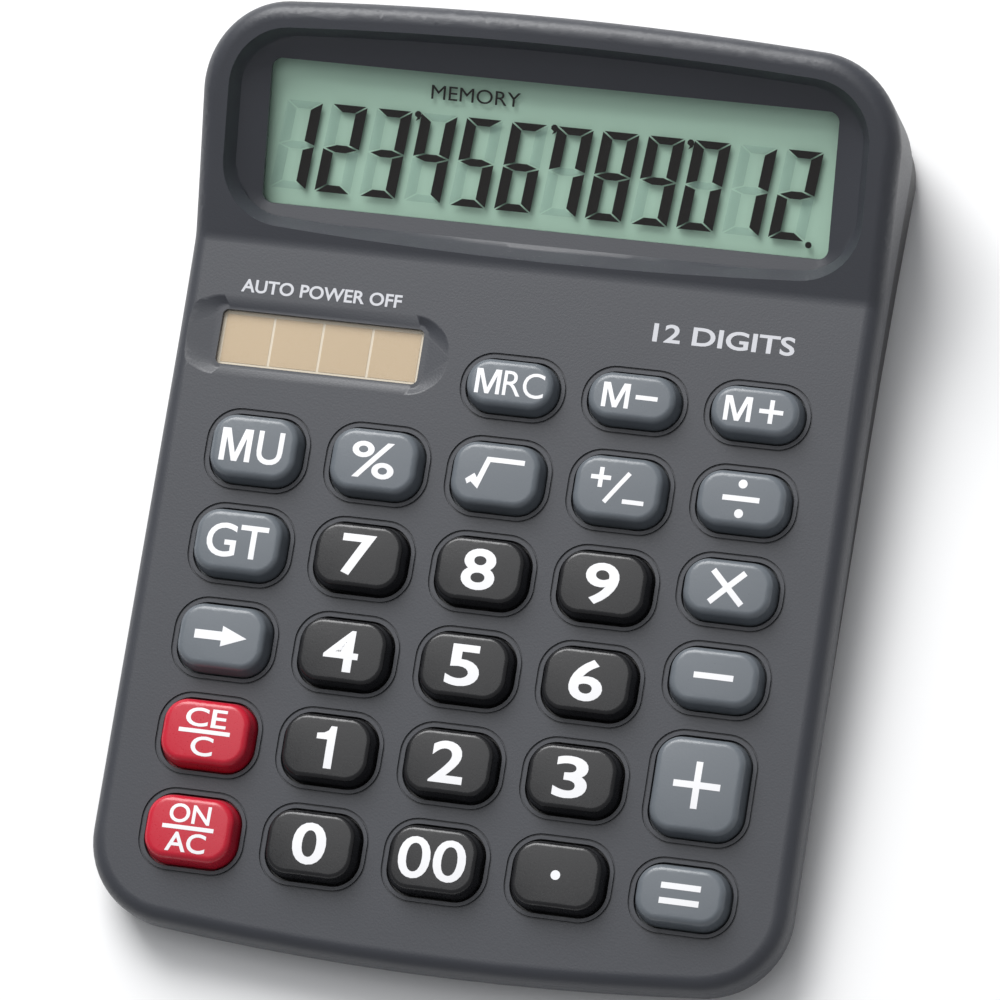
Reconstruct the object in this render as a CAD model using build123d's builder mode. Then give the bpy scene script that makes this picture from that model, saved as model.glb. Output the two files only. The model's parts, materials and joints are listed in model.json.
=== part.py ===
"""A twelve-digit desktop calculator: a two-shell case with a raised display pod, a solar strip,
28 sprung keys on a rubber sheet, a glass display panel and one AAA cell behind a sliding cover.

Millimetres. +X is to the right, +Y to the back (the display end) and +Z up. The origin is on the
surface that the feet stand on, under the middle of the case.

Most of the case is drawn in the deck's own axes: the deck is the flat face round the keys, which
rises a little to the back. The display lies in the pod's axes, which rise more steeply.
"""

import os
from math import cos, radians, sin, tan

from build123d import *

os.makedirs("parts", exist_ok=True)

# ---------------------------------------------------------------- driving dimensions

# Case, in deck coordinates: y = 0 is the middle of the first full key row
half_width = 59.2
flare = 1.1  # how much wider each side is at the back corner
flare_start = 10.0
case_front = -82.8
case_back = 76.7
front_crown = 480.0  # radii of the slightly bowed front and back edges
back_crown = 740.0
front_corner = 14.5
back_corner = 15.0
wall = 1.8
edge_radius = 3.0
shell_depth = 6.0  # from the deck down to the parting line
deck_tilt = 3.5
pod_tilt = 20.0  # between the deck and the pod's face
pod_start = 36.0
bend_radius = 5.0
rear_inset = 0.8  # the rear housing stands this far inside the front one
parting_height = 4.0  # of the parting line's front end above the ground
ground_gap = 1.2  # under the rear housing's floor
floor_thickness = 1.6
rear_edge_radius = 1.5
rating_panel_size = (62.0, 26.0)  # a shallow panel in the underside
rating_panel_centre = (0, -10.0)
rating_panel_depth = 0.3
margin = 1.0  # that a cut runs on past what it cuts
lay = 0.02  # left between two parts that lie on each other

# Keys
column_pitch = 20.8
row_pitch = 16.24
cap_width = 15.65
cap_depth = {"standard": 11.6, "memory": 8.95, "narrow": 10.3, "tall": 16.6}
cap_corner = 4.3
cap_height = 3.6
cap_inset = 0.65  # of the cap's top inside its foot
cap_crown = 75.0
cap_edge = 1.3
digit_cap_edge = 0.9
corner_share = 0.2  # left straight between the corners of a low cap
key_gap = 0.35  # all round the cap in its hole
lip_width = 0.6
groove_width = 0.35
groove_depth = 0.4
well_border = key_gap + lip_width + groove_width
well_spacing = 2.03  # between the wells in the right-hand column
key_travel = 1.5
flange_width = 0.8
flange_top = -1.9
flange_bottom = -2.7
cap_hollow = 1.4  # how far the cap is hollow above the deck
cap_wall = 1.3
stem_radius = 1.9
stem_overlap = 0.5

# Display, in pod coordinates: v = 0 at the pod's foot, measured up its face
window_width = 97.6
window_height = 24.6
window_low = 6.2
window_corner = 1.8
window_depth = 4.2
bezel_depth = 5.2
rim_half_width = 54.9
rim_low = 1.4
rim_high = 37.7
rim_corner = 10.5
rim_crown = 720.0
rim_mouth = (-0.6, -0.35)  # depth and inset of the recess's steep wall, at its top
rim_foot = (2.6, 1.5)  # and at its foot
ledge_foot = (3.4, 2.4, 5.0)  # depth, growth and corner of the ledge where the window starts
bezel_border = 1.5  # of the thick frame behind the recess
bracket_boss_length = 3.6
bracket_boss_radius = 2.0
bracket_bosses = [(53.4, 9.0), (53.4, 28.5)]

# Display stack, in pod coordinates and as depths below the pod's face
lens_flange = 0.88
lens_border = 3.2
lens_rise = 0.75  # of the lens into the window
lens_fit = 0.1
panel_top = 6.2
polariser = 0.2
polariser_inset = 0.8
glass = 1.1
panel_half_width = 50.3
rear_glass_low = 2.3
front_glass_low = 4.7
glass_high = 32.5
bracket_size = (101.2, 31.5)
bracket_middle = (0, 18.0)
bracket_hole = (86.0, 19.0)
bracket_thickness = 1.2
ear_radius = 2.4
ear_size = (5.0, 4.8)
ear_start = 0.96  # of the way out to the screws
film = 0.12
film_width = 78.0
film_bend = 1.2

# Solar strip, in deck coordinates
solar_size = (35.1, 9.5)
solar_centre = (-34.35, 19.25)
scoop_size = (47.2, 14.0)
scoop_centre = (-35.2, 19.3)
scoop_depth = 0.9
scoop_round = 0.1  # less than half its height, at the scoop's ends
scoop_border = 0.6
scoop_corner = 1.6
solar_corner = 1.0
solar_cover_thickness = 0.78
solar_cell_border = 0.7
solar_cell_thickness = 1.1

# Board and rubber sheet
board_top = -5.2
board_thickness = 1.6
board_half_width = 48.5
board_front = -75.5
board_back = 33.0
sheet_thickness = 0.6
sheet_back = 24.0
dome_radius = 3.6
dome_gap = 0.05
dome_wall = 0.5
dome_taper = 32
sheet_corner = 2.0
board_corner = 1.5

# Screws
post_radius = 3.0
post_places = [(54.0, -66.0), (54.0, 4.0), (54.0, 60.0)]
screw_radius = 1.1
screw_clearance = 0.35
head_radius = 2.5
head_height = 1.5
counterbore_radius = 2.8
seat_depth = 1.9  # of the screw heads' seats below the parting line
screw_reach = 3.8  # of the screws above the parting line
pilot_fit = 0.05
pilot_spare = 0.4
slot_size = (3.2, 0.6, 1.2)  # of each arm of the cross in a screw's head
small_head_radius = 1.5
small_head_height = 0.78
small_shank_radius = 0.7
small_pilot_radius = 0.75
small_clearance_radius = 0.95
board_screw_reach = 2.3
board_pilot_depth = 3.4
bracket_screw_reach = 3.5
bracket_pilot_depth = 4.2
board_boss_radius = 2.0
board_bosses = [
    (-31.2, -8.1),
    (10.4, -8.1),
    (31.2, -23.1),
    (-31.2, -40.6),
    (10.4, -40.6),
    (-10.4, -56.8),
    (31.2, -57.4),
]

# Parts on the board's underside
chip_place = (6.0, 22.0)
chip_radius = 6.0
chip_height = 1.3
chip_edge = 1.1
capacitor_place = (-24.0, 25.0)
capacitor_size = (2.2, 7.0)  # radius and length
diode_place = (-10.0, 27.0)
diode_size = (0.9, 3.6)
resistor_places = [(22.0, 17.0), (22.0, 20.5), (22.0, 24.0)]
resistor_size = (1.0, 5.0)
lead_radius = 0.25
lead_length = 10.0
component_gap = 0.2

# Battery, in ground coordinates
cell_radius = 5.25
cell_length = 43.7
nub_radius = 1.9
nub_length = 0.8
cell_y = 67.5
cell_z = 8.6
plate = 0.35  # of the contacts
contact_size = (9.0, 9.6)
dimple_radius = 2.4
dimple_height = 0.3
dimple_reach = 0.58  # of the positive contact's dimple from its wall
spring_wire = 0.3
spring_radius = 3.0
spring_turns = 3
bay_half_length = 24.9
bay_half_width = 5.6
bay_roof = 14.4
bay_wall = 1.2
bay_struts = (-20.0, 0.0, 20.0)
strut_thickness = 2.0
strut_drop = 4.0  # of the struts' tops below the bay's roof
wire_slot = 2.6
cover_half_width = 28.5
cover_front = 59.5
cover_top = 7.5  # of its upturned back end
cover_gap = 0.2
tongue_width = 1.0
tongue_height = 0.8
grip_start = 7.0  # from the cover's front edge to its first ridge
grip_pitch = 1.8
grip_count = 5
grip_width = 14.0

# Feet
foot_radius = 5.0
foot_pocket = 0.6
foot_fit = 0.1
foot_edge = 0.5
foot_places = [(44.0, -66.5), (44.0, 66.0)]

# ---------------------------------------------------------------- planes

case_middle = (case_front + case_back) / 2
tilt = radians(deck_tilt)
deck_y = -case_middle * cos(tilt) - shell_depth * sin(tilt)
deck_z = parting_height + shell_depth * cos(tilt) - case_front * sin(tilt)
deck = Plane(origin=(0, deck_y, deck_z), x_dir=(1, 0, 0), z_dir=(0, -sin(tilt), cos(tilt)))
side = Plane(origin=deck.origin, x_dir=deck.y_dir, z_dir=(1, 0, 0))

steep = radians(deck_tilt + pod_tilt)
pod = Plane(
    origin=deck.from_local_coords((0, pod_start, 0)),
    x_dir=(1, 0, 0),
    z_dir=(0, -sin(steep), cos(steep)),
)
far = 100.0  # beyond the case on every side


def save(part, name):
    """Label a finished piece and write it to its own file."""
    part.label = name
    export_step(part, f"parts/{name}.step")


def both_sides(places):
    """Each place and its mirror image across the case."""
    return [(sign * x, y) for x, y in places for sign in (1, -1)]


# ---------------------------------------------------------------- case profiles


def outline(plane, inset):
    """The case's outline seen along the deck's normal, drawn in by inset."""
    width = half_width - inset
    back_width = width + flare
    front = case_front + inset
    back = case_back - inset
    front_side = front + width**2 / (2 * front_crown)
    back_side = back - back_width**2 / (2 * back_crown)
    with BuildSketch(plane) as sketch:
        with BuildLine():
            ThreePointArc((-width, front_side), (0, front), (width, front_side))
            for x, reach in ((width, back_width), (-width, -back_width)):
                Line((x, front_side), (x, flare_start))
                TangentArc((x, flare_start), (reach, back_side), tangent=(0, 1))
            ThreePointArc((-back_width, back_side), (0, back), (back_width, back_side))
        make_face()
        corners = sketch.vertices().group_by(Axis.Y)
        fillet(corners[0], front_corner - inset)
        corners = sketch.vertices().group_by(Axis.Y)
        fillet(corners[-1], back_corner - inset)
    return sketch.sketch


def below_top(depth):
    """Side view of everything under the deck and the pod's face, both lowered by depth."""
    bend = pod_start + depth * tan(radians(pod_tilt / 2))
    rise = (far - bend) * tan(radians(pod_tilt))
    with BuildSketch(side) as sketch:
        with BuildLine():
            Polyline(
                (-far, -far),
                (-far, -depth),
                (bend, -depth),
                (far, rise - depth),
                (far, -far),
                close=True,
            )
        make_face()
        corner = sketch.vertices().sort_by_distance(Vertex(bend, -depth, 0))[0]
        fillet(corner, bend_radius + depth)
    return sketch.sketch


def rounded(plane, places, size, corner):
    """Equal rounded rectangles standing at places on a plane."""
    with BuildSketch(plane) as sketch:
        with Locations(*places):
            RectangleRounded(*size, corner)
    return sketch.sketch


def circles(plane, places, radius):
    """Equal circles standing at places on a plane."""
    with BuildSketch(plane) as sketch:
        with Locations(*places):
            Circle(radius)
    return sketch.sketch


# ---------------------------------------------------------------- key layout

well_width = cap_width + 2 * well_border
column = [(n - 2) * column_pitch for n in range(5)]
row = [-n * row_pitch for n in range(5)]
memory_row = 15.5
right_column_top = 6.93

keys = [
    ("key_mrc", column[2], memory_row, "memory"),
    ("key_m_minus", column[3], memory_row, "memory"),
    ("key_m_plus", column[4], memory_row, "memory"),
]
key_rows = [
    ("key_mu", "key_percent", "key_root", "key_sign"),
    ("key_gt", "key_7", "key_8", "key_9"),
    ("key_arrow", "key_4", "key_5", "key_6"),
    ("key_ce", "key_1", "key_2", "key_3"),
    ("key_on", "key_0", "key_00", "key_point"),
]
for names, y in zip(key_rows, row):
    keys += [(name, x, y, "standard") for name, x in zip(names, column)]
right_column = [
    ("key_divide", "narrow"),
    ("key_multiply", "narrow"),
    ("key_subtract", "narrow"),
    ("key_add", "tall"),
    ("key_equals", "narrow"),
]
well_top = right_column_top
for name, kind in right_column:
    well_height = cap_depth[kind] + 2 * well_border
    keys.append((name, column[4], well_top - well_height / 2, kind))
    well_top -= well_height + well_spacing
digit_keys = {name for names in key_rows for name in names[1:]} - set(key_rows[0])


def foot_corner(kind):
    """The corner radius of a cap's foot, which a low cap has no room for in full."""
    return min(cap_corner, cap_depth[kind] / 2 - corner_share)


def key_outlines(plane, grow):
    """Every key's foot outline, grown all round, with its corners growing too."""
    with BuildSketch(plane) as sketch:
        for _, x, y, kind in keys:
            size = (cap_width + 2 * grow, cap_depth[kind] + 2 * grow)
            with Locations((x, y)):
                RectangleRounded(*size, foot_corner(kind) + grow)
    return sketch.sketch


# ---------------------------------------------------------------- front housing

rim_middle = (rim_low + rim_high) / 2
window_middle = window_low + window_height / 2


def rim(depth, inset):
    """The display recess's bowed rim, at a depth below the pod's face and drawn in by inset."""
    width = rim_half_width - inset
    low = rim_low + inset
    high = rim_high - inset
    sag = width**2 / (2 * rim_crown)
    with BuildSketch(pod.offset(-depth)) as sketch:
        with BuildLine():
            near = ThreePointArc((-width, low + sag), (0, low), (width, low + sag))
            beyond = ThreePointArc((-width, high - sag), (0, high), (width, high - sag))
            Line(near @ 0, beyond @ 0)
            Line(near @ 1, beyond @ 1)
        make_face()
        fillet(sketch.vertices(), rim_corner - inset)
    return sketch.sketch


def window(depth, grow, corner):
    """The display window's outline at a depth below the pod's face, grown all round."""
    size = (window_width + 2 * grow, window_height + 2 * grow)
    return rounded(pod.offset(-depth), [(0, window_middle)], size, corner)


below_parting = deck.offset(-shell_depth - margin)
boss_end = pod.offset(-bezel_depth - bracket_boss_length)
bezel_size = (2 * (rim_half_width + bezel_border), rim_high - rim_low + 2 * bezel_border)
posts = both_sides(post_places)

with BuildPart() as cavity:
    extrude(outline(below_parting, wall), amount=far / 2)
    extrude(below_top(wall), amount=far, both=True, mode=Mode.INTERSECT)
    bezel = rounded(pod.offset(-bezel_depth), [(0, rim_middle)], bezel_size, rim_corner)
    extrude(bezel, amount=far / 4, mode=Mode.SUBTRACT)
    bracket_posts = circles(boss_end, both_sides(bracket_bosses), bracket_boss_radius)
    extrude(bracket_posts, amount=far / 4, mode=Mode.SUBTRACT)
    extrude(circles(below_parting, posts, post_radius), amount=far / 2, mode=Mode.SUBTRACT)
    board_posts = circles(deck.offset(board_top), board_bosses, board_boss_radius)
    extrude(board_posts, amount=far / 4, mode=Mode.SUBTRACT)

with BuildPart() as front_housing:
    extrude(outline(deck.offset(-shell_depth), 0), amount=far / 2)
    extrude(below_top(0), amount=far, both=True, mode=Mode.INTERSECT)
    top_edges = (
        front_housing.edges()
        .filter_by(Axis.X, reverse=True)
        .filter_by(lambda edge: abs((edge % 0.5).dot(deck.z_dir)) < 0.99)
        .filter_by(lambda edge: deck.to_local_coords(edge @ 0.5).Z > 1 - shell_depth)
    )
    fillet(top_edges, edge_radius)
    add(cavity.part, mode=Mode.SUBTRACT)
    # display recess: a steep wall, a ledge and a second wall down to the window
    steps = [
        rim(*rim_mouth),
        rim(*rim_foot),
        window(*ledge_foot),
        window(window_depth, 0, window_corner),
    ]
    for upper, lower in zip(steps, steps[1:]):
        loft(sections=[upper, lower], ruled=True, mode=Mode.SUBTRACT)
    extrude(window(far / 8, 0, window_corner), amount=far / 8, mode=Mode.SUBTRACT)
    # dished surround of the solar strip, and the strip's opening
    scoop_mouth = rounded(deck, [scoop_centre], scoop_size, scoop_size[1] / 2 - scoop_round)
    size = (solar_size[0] + 2 * scoop_border, solar_size[1] + 2 * scoop_border)
    scoop_floor = rounded(deck.offset(-scoop_depth), [solar_centre], size, scoop_corner)
    loft(sections=[scoop_mouth, scoop_floor], ruled=True, mode=Mode.SUBTRACT)
    strip_hole = rounded(deck, [solar_centre], solar_size, solar_corner)
    extrude(strip_hole, amount=-wall - margin, mode=Mode.SUBTRACT)
    # key wells: a groove, a lip standing inside it, and the hole that the cap moves in
    extrude(key_outlines(deck, well_border), amount=-groove_depth, mode=Mode.SUBTRACT)
    extrude(key_outlines(deck.offset(-groove_depth), well_border - groove_width), amount=groove_depth)
    extrude(key_outlines(deck, key_gap), amount=-wall - margin, mode=Mode.SUBTRACT)
    # pilot holes for the screws
    post_end = deck.offset(-shell_depth)
    for places, plane, radius, depth in (
        (posts, post_end, screw_radius + pilot_fit, screw_reach + pilot_spare),
        (board_bosses, deck.offset(board_top), small_pilot_radius, board_pilot_depth),
        (both_sides(bracket_bosses), boss_end, small_pilot_radius, bracket_pilot_depth),
    ):
        extrude(circles(plane, places, radius), amount=depth, mode=Mode.SUBTRACT)
save(front_housing.part, "front_housing")

# ---------------------------------------------------------------- rear housing

rear_wall_inset = rear_inset + wall
bay_top = bay_roof + bay_wall
rear_foot_places = both_sides(foot_places)


def box_between(low, high):
    """A box between two corners, kept out of whatever is being built."""
    sizes = [b - a for a, b in zip(low, high)]
    return Pos(*low) * Box(*sizes, align=(Align.MIN, Align.MIN, Align.MIN), mode=Mode.PRIVATE)


with BuildPart() as rear_outer:
    extrude(outline(deck.offset(-shell_depth), rear_inset), amount=-far / 2)
    add(box_between((-far, -far, ground_gap), (far, far, far)), mode=Mode.INTERSECT)
    floor_face = rear_outer.faces().sort_by(Axis.Z)[0]
    fillet(floor_face.edges(), rear_edge_radius)

with BuildPart() as rear_hollow:
    extrude(outline(deck.offset(-shell_depth + margin), rear_wall_inset), amount=-far / 2)
    floor_top = ground_gap + floor_thickness
    add(box_between((-far, -far, floor_top), (far, far, far)), mode=Mode.INTERSECT)

with BuildPart() as bay_walls:
    outer_x = bay_half_length + bay_wall
    outer_y = bay_half_width + bay_wall
    low = (-outer_x, cell_y - outer_y, floor_top + cover_gap)
    add(box_between(low, (outer_x, cell_y + outer_y, bay_top)))
    low = (-bay_half_length, cell_y - bay_half_width, 0)
    high = (bay_half_length, cell_y + bay_half_width, bay_roof)
    add(box_between(low, high), mode=Mode.SUBTRACT)
    # struts that tie the bay to the floor in front of the cover
    for x in bay_struts:
        low = (x - strut_thickness / 2, cover_front - 3 * margin, floor_top - margin / 2)
        high = (x + strut_thickness / 2, cell_y - outer_y + margin / 2, bay_top - strut_drop)
        add(box_between(low, high))
    # wire slots in the end walls
    for sign in (1, -1):
        with Locations((sign * (bay_half_length + bay_wall / 2), cell_y, cell_z)):
            Box(bay_wall + margin, wire_slot, wire_slot, mode=Mode.SUBTRACT)

cover_edge = cover_half_width + cover_gap
tongue_edge = cover_edge + tongue_width
groove_floor = floor_top - tongue_height - cover_gap / 2

with BuildPart() as rear_housing:
    add(rear_outer.part)
    add(rear_hollow.part, mode=Mode.SUBTRACT)
    extrude(circles(deck.offset(-shell_depth), posts, post_radius), amount=-far / 4)
    add(rear_outer.part, mode=Mode.INTERSECT)
    add(bay_walls.part)
    # battery opening, with a groove along each side for the cover's tongues
    low = (-cover_edge, cover_front - cover_gap, 0)
    add(box_between(low, (cover_edge, far, floor_top)), mode=Mode.SUBTRACT)
    low = (-tongue_edge, cover_front - cover_gap, groove_floor)
    add(box_between(low, (tongue_edge, far, floor_top + cover_gap)), mode=Mode.SUBTRACT)
    low = (-cover_edge, cell_y + outer_y + margin, 0)
    add(box_between(low, (cover_edge, far, cover_top + cover_gap)), mode=Mode.SUBTRACT)
    # screw holes with deep counterbores from below
    screw_holes = circles(deck.offset(-shell_depth + margin), posts, screw_radius + screw_clearance)
    extrude(screw_holes, amount=-far / 4, mode=Mode.SUBTRACT)
    seat = deck.offset(-shell_depth - seat_depth)
    extrude(circles(seat, posts, counterbore_radius), amount=-far / 4, mode=Mode.SUBTRACT)
    # pockets that hold the feet
    pocket = Plane.XY.offset(ground_gap + foot_pocket)
    pockets = circles(pocket, rear_foot_places, foot_radius + foot_fit)
    extrude(pockets, amount=-far / 4, mode=Mode.SUBTRACT)
    # shallow panel for a rating label
    panel = rounded(Plane.XY.offset(ground_gap), [rating_panel_centre], rating_panel_size, 2.0)
    extrude(panel, amount=rating_panel_depth, mode=Mode.SUBTRACT)
save(rear_housing.part, "rear_housing")

# ---------------------------------------------------------------- battery cover

with BuildPart() as battery_cover:
    add(rear_outer.part)
    low = (-cover_half_width, cover_front, 0)
    add(box_between(low, (cover_half_width, far, cover_top)), mode=Mode.INTERSECT)
    add(rear_hollow.part, mode=Mode.SUBTRACT)
    # tongues that run in the housing's grooves
    for sign in (1, -1):
        ends = sorted((sign * (cover_half_width - margin), sign * (cover_half_width + tongue_width)))
        low = (ends[0], cover_front, floor_top - tongue_height)
        add(box_between(low, (ends[1], cell_y + outer_y, floor_top)))
    # grip ridges
    for n in range(grip_count):
        with Locations((0, cover_front + grip_start + n * grip_pitch, ground_gap)):
            Box(grip_width - 2 * n, 0.7, 0.6)
save(battery_cover.part, "battery_cover")

# ---------------------------------------------------------------- keys

for name, x, y, kind in keys:
    depth = cap_depth[kind]
    corner = foot_corner(kind)
    edge = digit_cap_edge if name in digit_keys else cap_edge
    with BuildPart() as key:
        # cap: a drafted block with a softly crowned, rounded top
        foot = rounded(deck.offset(flange_top), [(x, y)], (cap_width, depth), corner)
        extrude(foot, amount=-flange_top)
        skirt = rounded(deck, [(x, y)], (cap_width, depth), corner)
        size = (cap_width - 2 * cap_inset, depth - 2 * cap_inset)
        top = rounded(deck.offset(cap_height), [(x, y)], size, corner - cap_inset)
        loft(sections=[skirt, top], ruled=True)
        with Locations(deck.offset(cap_height - cap_crown).from_local_coords((x, y, 0))):
            Sphere(cap_crown, mode=Mode.INTERSECT)
        crown = key.faces().filter_by(GeomType.SPHERE).sort_by(SortBy.AREA)[-1]
        fillet(crown.edges(), edge)
        # flange under the case's skin, hollow inside, and the stem that presses the dome
        size = (cap_width + 2 * key_gap + 2 * flange_width, depth + 2 * key_gap + 2 * flange_width)
        flange = rounded(deck.offset(flange_top), [(x, y)], size, corner + key_gap)
        extrude(flange, amount=flange_bottom - flange_top)
        size = (cap_width - 2 * cap_wall, depth - 2 * cap_wall)
        hollow = rounded(deck.offset(flange_bottom), [(x, y)], size, corner - cap_wall)
        extrude(hollow, amount=cap_hollow - flange_bottom, mode=Mode.SUBTRACT)
        stem = circles(deck.offset(flange_bottom), [(x, y)], stem_radius)
        extrude(stem, amount=cap_hollow - flange_bottom + stem_overlap)
    save(key.part, name)

# ---------------------------------------------------------------- rubber sheet and board

sheet_top = board_top + sheet_thickness
dome_height = flange_bottom - dome_gap - sheet_top
key_places = [(x, y) for _, x, y, _ in keys]
board_middle = (board_front + board_back) / 2
sheet_middle = (board_front + sheet_back) / 2
board_width = 2 * board_half_width

with BuildPart() as keypad_sheet:
    size = (board_width, sheet_back - board_front)
    sheet = rounded(deck.offset(board_top), [(0, sheet_middle)], size, sheet_corner)
    extrude(sheet, amount=sheet_thickness)
    extrude(circles(deck.offset(sheet_top), key_places, dome_radius), amount=dome_height, taper=dome_taper)
    hollow = circles(deck.offset(board_top), key_places, dome_radius - dome_wall)
    extrude(hollow, amount=dome_height, taper=dome_taper, mode=Mode.SUBTRACT)
    holes = circles(deck.offset(board_top), board_bosses, board_boss_radius + 0.3)
    extrude(holes, amount=sheet_thickness, mode=Mode.SUBTRACT)
save(keypad_sheet.part, "keypad_sheet")

board_under = board_top - board_thickness
with BuildPart() as main_board:
    size = (board_width, board_back - board_front)
    laminate = rounded(deck.offset(board_top), [(0, board_middle)], size, board_corner)
    extrude(laminate, amount=-board_thickness)
    holes = circles(deck.offset(board_top), board_bosses, small_clearance_radius)
    extrude(holes, amount=-board_thickness, mode=Mode.SUBTRACT)
save(main_board.part, "main_board")


def small_screws(seat, places, reach):
    """Pan-headed screws whose heads lie on the far side of a seat, and whose shanks go through it."""
    heads = circles(seat.offset(-small_head_height - lay), places, small_head_radius)
    extrude(heads, amount=small_head_height)
    extrude(circles(seat.offset(-margin / 10), places, small_shank_radius), amount=reach + margin / 10)


with BuildPart() as board_screws:
    small_screws(deck.offset(board_under), board_bosses, board_thickness + board_screw_reach)
save(board_screws.part, "board_screws")

# ---------------------------------------------------------------- parts on the board's underside

with BuildPart() as chip_cover:
    extrude(circles(deck.offset(board_under), [chip_place], chip_radius), amount=-chip_height)
    fillet(chip_cover.faces().sort_by(Axis.Z)[0].edges(), chip_edge)
save(chip_cover.part, "chip_cover")


def lying_cylinder(place, drop, radius, length):
    """A cylinder that lies along X, with its axis a drop below the board."""
    middle = deck.from_local_coords((*place, board_under - drop))
    return Pos(middle) * Rot(0, 90, 0) * Cylinder(radius, length, mode=Mode.PRIVATE)


with BuildPart() as capacitor:
    drop = capacitor_size[0] + component_gap / 2
    add(lying_cylinder(capacitor_place, drop, *capacitor_size))
    fillet(capacitor.edges(), 0.4)
save(capacitor.part, "capacitor")

with BuildPart() as clamp_diode:
    drop = diode_size[0] + component_gap
    add(lying_cylinder(diode_place, drop, *diode_size))
    add(lying_cylinder(diode_place, drop, lead_radius, lead_length))
save(clamp_diode.part, "clamp_diode")

with BuildPart() as resistors:
    drop = resistor_size[0] + component_gap
    for place in resistor_places:
        add(lying_cylinder(place, drop, *resistor_size))
        add(lying_cylinder(place, drop, lead_radius, lead_length))
save(resistors.part, "resistors")

# ---------------------------------------------------------------- display stack

lens_back = bezel_depth + lens_flange + lay
with BuildPart() as display_window:
    lens_size = (2 * panel_half_width, window_height + lens_border)
    flange = rounded(pod.offset(-lens_back), [(0, window_middle)], lens_size, 2.0)
    extrude(flange, amount=lens_flange)
    extrude(window(bezel_depth + lens_fit, -lens_fit, window_corner - lens_fit), amount=lens_rise)
save(display_window.part, "display_window")


def glass_plate(depth, low, thickness, inset=0.0):
    """One plate of the display panel, from low up the pod's face to its upper edge."""
    size = (2 * (panel_half_width - inset), glass_high - low - 2 * inset)
    plate = rounded(pod.offset(-depth), [(0, (low + glass_high) / 2)], size, 0.3)
    extrude(plate, amount=-thickness)


ledge_depth = panel_top + polariser + glass  # of the rear glass, where it stands out below the front
with BuildPart() as display_panel:
    glass_plate(panel_top, front_glass_low, polariser, inset=polariser_inset)
    glass_plate(panel_top + polariser, front_glass_low, glass)
    glass_plate(ledge_depth, rear_glass_low, glass)
    glass_plate(ledge_depth + glass, front_glass_low, polariser, inset=polariser_inset)
save(display_panel.part, "display_panel")

bracket_depth = bezel_depth + bracket_boss_length
bracket_places = both_sides(bracket_bosses)
with BuildPart() as display_bracket:
    plane = pod.offset(-bracket_depth)
    extrude(rounded(plane, [bracket_middle], bracket_size, 1.5), amount=-bracket_thickness)
    ears = [(x * ear_start, y) for x, y in bracket_places]
    extrude(circles(plane, bracket_places, ear_radius), amount=-bracket_thickness)
    extrude(rounded(plane, ears, ear_size, 0.1), amount=-bracket_thickness)
    opening = rounded(plane, [bracket_middle], bracket_hole, 2.0)
    extrude(opening, amount=-bracket_thickness, mode=Mode.SUBTRACT)
    holes = circles(plane, bracket_places, small_clearance_radius)
    extrude(holes, amount=-bracket_thickness, mode=Mode.SUBTRACT)
save(display_bracket.part, "display_bracket")

with BuildPart() as bracket_screws:
    seat = pod.offset(-bracket_depth - bracket_thickness)
    small_screws(seat, bracket_places, bracket_thickness + bracket_screw_reach)
save(bracket_screws.part, "bracket_screws")

# printed film that joins the board's edge to the ledge of the rear glass
film_lift = film / 2 + lay  # of the film's middle above what it is bonded to
ledge = pod.offset(-ledge_depth)


def side_point(plane, along, lift):
    """A place on a plane's centre line, as the side view's own coordinates."""
    local = deck.to_local_coords(plane.from_local_coords((0, along, lift)))
    return (local.Y, local.Z)


with BuildPart() as heat_seal_connector:
    with BuildSketch(side) as strip:
        with BuildLine():
            FilletPolyline(
                (board_back - 4.0, board_top + film_lift),
                (board_back + 1.2, board_top + film_lift),
                (board_back + 5.2, board_top - 1.8),
                side_point(ledge, rear_glass_low - 0.8, film_lift),
                side_point(ledge, front_glass_low - 0.3, film_lift),
                radius=film_bend,
            )
        trace(line_width=film)
    extrude(strip.sketch, amount=film_width / 2, both=True)
save(heat_seal_connector.part, "heat_seal_connector")

# ---------------------------------------------------------------- solar strip

with BuildPart() as solar_window:
    size = (solar_size[0] - 2 * lens_fit, solar_size[1] - 2 * lens_fit)
    cover = rounded(deck.offset(-scoop_depth - lens_fit), [solar_centre], size, solar_corner - lens_fit)
    extrude(cover, amount=-solar_cover_thickness)
save(solar_window.part, "solar_window")

with BuildPart() as solar_cell:
    size = (solar_size[0] + 2 * solar_cell_border, solar_size[1] + 2 * solar_cell_border)
    cell = rounded(deck.offset(-wall - lay), [solar_centre], size, 0.4)
    extrude(cell, amount=-solar_cell_thickness)
save(solar_cell.part, "solar_cell")

# ---------------------------------------------------------------- battery and its contacts

nub_end = bay_half_length - dimple_reach - lay
cell_end = nub_end - nub_length
cell_start = cell_end - cell_length
cell_axis = Plane(origin=(cell_start, cell_y, cell_z), x_dir=(0, 1, 0), z_dir=(1, 0, 0))
with BuildPart() as battery_cell:
    with BuildSketch(cell_axis):
        Circle(cell_radius)
    extrude(amount=cell_length)
    fillet(battery_cell.edges(), 0.5)
    with BuildSketch(cell_axis.offset(cell_length)):
        Circle(nub_radius)
    extrude(amount=nub_length)
save(battery_cell.part, "battery_cell")



def contact_plane(x):
    """A plane across the battery's axis."""
    return Plane(origin=(x, cell_y, cell_z), x_dir=(0, 1, 0), z_dir=(1, 0, 0))


with BuildPart() as positive_contact:
    extrude(rounded(contact_plane(bay_half_length - plate), [(0, 0)], contact_size, 1.0), amount=plate)
    dimple = circles(contact_plane(bay_half_length - dimple_reach), [(0, 0)], dimple_radius)
    extrude(dimple, amount=dimple_height)
save(positive_contact.part, "positive_contact")

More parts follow.
